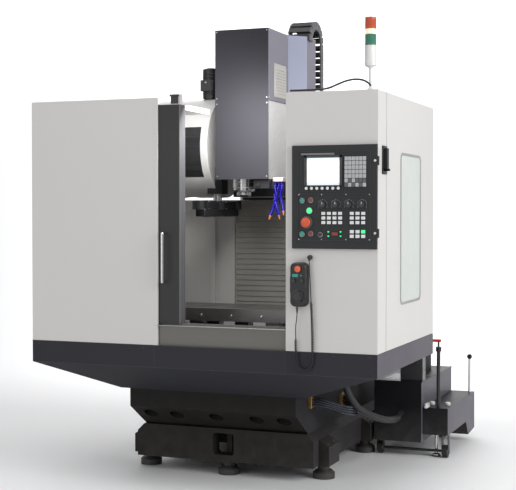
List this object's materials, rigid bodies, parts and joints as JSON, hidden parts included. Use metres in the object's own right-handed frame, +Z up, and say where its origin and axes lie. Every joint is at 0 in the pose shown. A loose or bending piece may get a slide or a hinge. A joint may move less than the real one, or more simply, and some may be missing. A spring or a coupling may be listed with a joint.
{
  "type": "cnc machining center",
  "caption": "Enclosed vertical-spindle milling machine with sliding front door, arm tool changer, swing-out control panel, chip tray and rear coolant tank.",
  "frame": {"origin": "floor level under the middle of the machine's footprint", "axes": "+Z up, -Y towards the operator, +X to the operator's right"},
  "size_m": [2.07, 2.154, 2.56],
  "materials": {
    "dark_casting": "dark gray machine paint over cast iron",
    "light_casting": "pale gray paint over cast iron",
    "light_sheet": "textured pale warm-gray powder coat",
    "dark_sheet": "textured dark blue-gray powder coat",
    "sill_steel": "satin olive-gray sheet steel",
    "panel_paint": "satin dark gray powder coat",
    "black_metal": "satin black paint",
    "table_iron": "ground and scraped iron",
    "cover_steel": "brushed cover plates",
    "steel": "ground steel",
    "chrome": "bright chrome",
    "window": "clear polycarbonate",
    "black_rubber": "matt black rubber",
    "black_plastic": "moulded black plastic",
    "white_plastic": "moulded off-white plastic",
    "blue_plastic": "moulded blue plastic",
    "red_plastic": "glossy red plastic",
    "green_plastic": "glossy green plastic",
    "lamp_plastic": "translucent lamp plastic"
  },
  "bodies": {
    "frame": {"base_casting": "dark_casting", "levelling_feet": "black_rubber", "column": "light_casting", "linear_rails": "steel", "coolant_tray": "dark_sheet", "enclosure_left": "light_sheet", "enclosure_right": "light_sheet", "side_window": "window", "rear_guards": "light_sheet", "front_sill": "sill_steel", "axis_motors": "black_metal", "way_cover_front": "cover_steel", "way_cover_rear": "cover_steel", "slat_cover": "cover_steel", "drum_cover": "light_sheet", "cam_box": "black_metal", "cable_carrier": "black_plastic", "signal_tower": "white_plastic", "tower_lenses": "lamp_plastic", "pendant_body": "black_plastic", "pendant_gland": "black_plastic", "pendant_lead_upper": "black_rubber", "pendant_curl": "black_rubber", "pendant_lead_lower": "black_rubber", "top_cable": "black_rubber", "drain_hose": "black_rubber", "electrical_cabinet": "light_sheet", "coolant_tank": "dark_sheet", "coolant_pump": "black_metal", "tank_fittings": "black_metal", "lubricator": "white_plastic"},
    "door": {"door_leaf": "light_sheet", "door_window": "window", "door_stile": "dark_sheet", "door_handle": "chrome"},
    "saddle": {"saddle": "light_casting"},
    "table": {"table": "table_iron"},
    "table_screw": {"table_screw": "steel"},
    "saddle_screw": {"saddle_screw": "steel"},
    "head_screw": {"head_screw": "steel"},
    "head": {"head_casting": "light_casting", "head_cover": "dark_sheet", "spindle_cartridge": "chrome", "spindle_motor": "black_metal", "coolant_nozzles": "blue_plastic"},
    "spindle": {"spindle": "steel"},
    "tool_disc": {"tool_disc": "table_iron"},
    "tilting_pot": {"tilting_pot": "table_iron"},
    "arm_shaft": {"arm_shaft": "steel"},
    "exchange_arm": {"exchange_arm": "steel"},
    "operator_panel": {"panel_box": "panel_paint"},
    "estop_button": {"estop_button": "red_plastic"},
    "start_button": {"start_button": "green_plastic"},
    "dial_1": {"dial_1": "black_plastic"},
    "dial_2": {"dial_2": "black_plastic"},
    "dial_3": {"dial_3": "black_plastic"},
    "dial_4": {"dial_4": "black_plastic"},
    "pendant_wheel": {"pendant_wheel": "black_plastic"},
    "cabinet_door": {"cabinet_door": "light_sheet"},
    "tank_wheels": {"tank_wheels": "black_rubber"}
  },
  "joints": [
    {"name": "door_slide", "type": "slide", "parent": "frame", "child": "door", "axis": [1, 0, 0], "range_m": [0, 0.585]},
    {"name": "saddle_slide", "type": "slide", "parent": "frame", "child": "saddle", "axis": [0, 1, 0], "range_m": [-0.18, 0.18], "deforming": ["way_cover_front", "way_cover_rear"]},
    {"name": "table_slide", "type": "slide", "parent": "saddle", "child": "table", "axis": [1, 0, 0], "range_m": [-0.3, 0.3]},
    {"name": "head_slide", "type": "slide", "parent": "frame", "child": "head", "axis": [0, 0, 1], "range_m": [-0.45, 0], "deforming": ["slat_cover", "cable_carrier"]},
    {"name": "table_screw_turn", "type": "hinge", "parent": "saddle", "child": "table_screw", "pos_m": [0, -0.347, 0.774], "axis": [1, 0, 0], "continuous": true},
    {"name": "saddle_screw_turn", "type": "hinge", "parent": "frame", "child": "saddle_screw", "pos_m": [0, -0.347, 0.625], "axis": [0, 1, 0], "continuous": true},
    {"name": "head_screw_turn", "type": "hinge", "parent": "frame", "child": "head_screw", "pos_m": [0, 0.112, 1.5], "axis": [0, 0, 1], "continuous": true},
    {"name": "spindle_turn", "type": "hinge", "parent": "head", "child": "spindle", "pos_m": [0, -0.347, 1.6], "axis": [0, 0, 1], "continuous": true},
    {"name": "tool_disc_turn", "type": "hinge", "parent": "frame", "child": "tool_disc", "pos_m": [-0.364, -0.105, 1.815], "axis": [1, 0, 0], "continuous": true},
    {"name": "pot_tilt", "type": "hinge", "parent": "tool_disc", "child": "tilting_pot", "pos_m": [-0.43, -0.105, 1.6], "axis": [0, -1, 0], "range_deg": [0, 90]},
    {"name": "arm_drop", "type": "slide", "parent": "frame", "child": "arm_shaft", "axis": [0, 0, -1], "range_m": [0, 0.11]},
    {"name": "arm_swing", "type": "hinge", "parent": "arm_shaft", "child": "exchange_arm", "pos_m": [-0.215, -0.226, 1.48], "axis": [0, 0, 1], "range_deg": [0, 60.6]},
    {"name": "panel_swing", "type": "hinge", "parent": "frame", "child": "operator_panel", "pos_m": [0.535, -1.03, 1.513], "axis": [0, 0, -1], "range_deg": [0, 90]},
    {"name": "estop_press", "type": "slide", "parent": "operator_panel", "child": "estop_button", "axis": [0, 1, 0], "range_m": [0, 0.006], "stiffness_N_per_m": 400},
    {"name": "start_press", "type": "slide", "parent": "operator_panel", "child": "start_button", "axis": [0, 1, 0], "range_m": [0, 0.004], "stiffness_N_per_m": 400},
    {"name": "pendant_wheel_turn", "type": "hinge", "parent": "frame", "child": "pendant_wheel", "pos_m": [0.578, -1.061, 1.024], "axis": [0, 1, 0], "continuous": true},
    {"name": "cabinet_door_swing", "type": "hinge", "parent": "frame", "child": "cabinet_door", "pos_m": [-0.43, 1.063, 1.255], "axis": [0, 0, 1], "range_deg": [0, 110]},
    {"name": "tank_wheels_turn", "type": "hinge", "parent": "frame", "child": "tank_wheels", "pos_m": [0.8175, 0.3, 0.037], "axis": [1, 0, 0], "continuous": true},
    {"name": "dial_1_turn", "type": "hinge", "parent": "operator_panel", "child": "dial_1", "pos_m": [0.697, -1.03, 1.476], "axis": [0, -1, 0], "range_deg": [-120, 120]},
    {"name": "dial_2_turn", "type": "hinge", "parent": "operator_panel", "child": "dial_2", "pos_m": [0.764, -1.03, 1.476], "axis": [0, -1, 0], "range_deg": [-120, 120]},
    {"name": "dial_3_turn", "type": "hinge", "parent": "operator_panel", "child": "dial_3", "pos_m": [0.831, -1.03, 1.476], "axis": [0, -1, 0], "range_deg": [-120, 120]},
    {"name": "dial_4_turn", "type": "hinge", "parent": "operator_panel", "child": "dial_4", "pos_m": [0.898, -1.03, 1.476], "axis": [0, -1, 0], "range_deg": [-120, 120]}
  ],
  "couplings": [
    {"joint": "table_screw_turn", "follows": "table_slide", "rad_per_m": 628.32},
    {"joint": "saddle_screw_turn", "follows": "saddle_slide", "rad_per_m": 628.32},
    {"joint": "head_screw_turn", "follows": "head_slide", "rad_per_m": 628.32}
  ]
}
